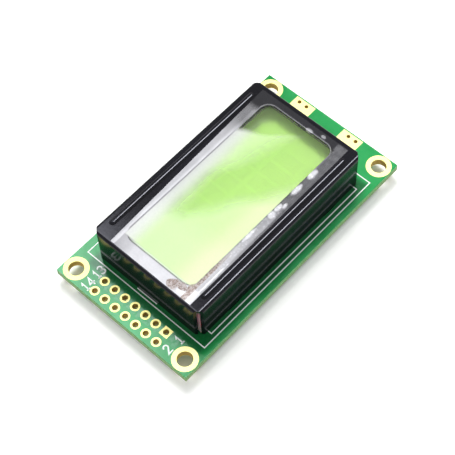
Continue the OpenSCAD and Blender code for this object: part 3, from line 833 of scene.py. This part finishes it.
# painted shadow: the floor's glow is cut under the board's outline
inset = 0.5
under = t.box(board_lo.x / MM + inset, board_hi.x / MM - inset,
              board_lo.y / MM + inset, board_hi.y / MM - inset, 0.7)
t.put(glow.inputs["Strength"], t.mul(seen, t.mul(FLOOR_GLOW, t.sub(1.0, t.mul(under, GLOW_CUT)))))
both = t.t.nodes.new("ShaderNodeAddShader")
t.t.links.new(t.b.outputs[0], both.inputs[0])
t.t.links.new(glow.outputs[0], both.inputs[1])
t.t.links.new(both.outputs[0], t.out.inputs[0])
me.materials.append(t.m)

# the camera is fitted to the photograph
AIM = Vector((-2.09, -1.21, TOP)) * MM     # a point on the board's top face
AZ, EL, ROLL = (math.radians(a) for a in (-44.81, 59.56, -3.25))
DIST, LENS, SENSOR = 244.03 * MM, 105.42, 36
back = Vector((math.sin(AZ) * math.cos(EL), -math.cos(AZ) * math.cos(EL), math.sin(EL)))
cam_data = bpy.data.cameras.new("camera")
cam = bpy.data.objects.new("camera", cam_data)
scene.collection.objects.link(cam)
cam.location = AIM + back * DIST
cam.rotation_mode = "QUATERNION"
look = (-back).to_track_quat("-Z", "Y").to_matrix().to_4x4()
cam.rotation_quaternion = (look @ Matrix.Rotation(ROLL, 4, "Z")).to_quaternion()
cam_data.sensor_width = SENSOR
cam_data.lens = LENS
cam_data.clip_start, cam_data.clip_end = 0.01, 20
scene.camera = cam


LAMP_HEIGHT = 0.66


def lamp(name, across, along, half, power):
    """A square softbox that faces the object's foot from LAMP_HEIGHT above it.

    across, along and half are shares of that height: its place along X and Y, and half its side.
    """
    d = bpy.data.lights.new(name, "AREA")
    d.shape = "RECTANGLE"
    d.size = d.size_y = 2 * half * LAMP_HEIGHT
    d.energy = power
    o = bpy.data.objects.new(name, d)
    o.location = (across * LAMP_HEIGHT, along * LAMP_HEIGHT, LAMP_HEIGHT)
    o.rotation_mode = "QUATERNION"
    o.rotation_quaternion = (-o.location).to_track_quat("-Z", "Y")
    scene.collection.objects.link(o)
    return o


key = lamp("key", across=0.38, along=0.42, half=0.24, power=4.45)
key.visible_glossy = False                 # gloss sees the plain backdrop and the two panels
PANEL_COLOR = (0.88, 0.89, 1.0)
# the first gives the sheen on the header end of the board, the second the lines along the folds and ribs
for panel in (lamp("near_panel", across=0.10, along=0.46, half=0.19, power=2.15),
              lamp("fold_panel", across=0.43, along=-0.02, half=0.15, power=6.6)):
    panel.visible_diffuse = False
    panel.data.color = PANEL_COLOR


# the world lights the object more from the key's side
WORLD_BRIGHT = Vector((0.45, 0.45, 0.77)).normalized()
WORLD_LOW, WORLD_HIGH = 0.40, 0.62
world = bpy.data.worlds.new("world")
scene.world = world
world.use_nodes = True
w = world.node_tree
bg = w.nodes["Background"]
coord = w.nodes.new("ShaderNodeTexCoord")
dot = w.nodes.new("ShaderNodeVectorMath")
dot.operation = "DOT_PRODUCT"
w.links.new(coord.outputs["Generated"], dot.inputs[0])
dot.inputs[1].default_value = WORLD_BRIGHT
ramp = w.nodes.new("ShaderNodeMapRange")
ramp.interpolation_type = "SMOOTHSTEP"
w.links.new(dot.outputs["Value"], ramp.inputs["Value"])
for k, v in (("From Min", 0.15), ("From Max", 1.0), ("To Min", WORLD_LOW), ("To Max", WORLD_HIGH)):
    ramp.inputs[k].default_value = v
ray = w.nodes.new("ShaderNodeLightPath").outputs
shown = ray["Is Camera Ray"]               # the camera, gloss and glass all see the white backdrop
for kind in ("Is Glossy Ray", "Is Transmission Ray"):
    either = w.nodes.new("ShaderNodeMath")
    either.operation = "MAXIMUM"
    w.links.new(shown, either.inputs[0])
    w.links.new(ray[kind], either.inputs[1])
    shown = either.outputs[0]
strength = w.nodes.new("ShaderNodeMix")
w.links.new(shown, strength.inputs["Factor"])
w.links.new(ramp.outputs[0], strength.inputs["A"])
strength.inputs["B"].default_value = 1.0
w.links.new(strength.outputs[0], bg.inputs["Strength"])
bg.inputs["Color"].default_value = (1, 1, 1, 1)

scene.view_settings.view_transform = "Standard"
scene.cycles.transparent_max_bounces = 32  # the window is a deep stack of clear layers
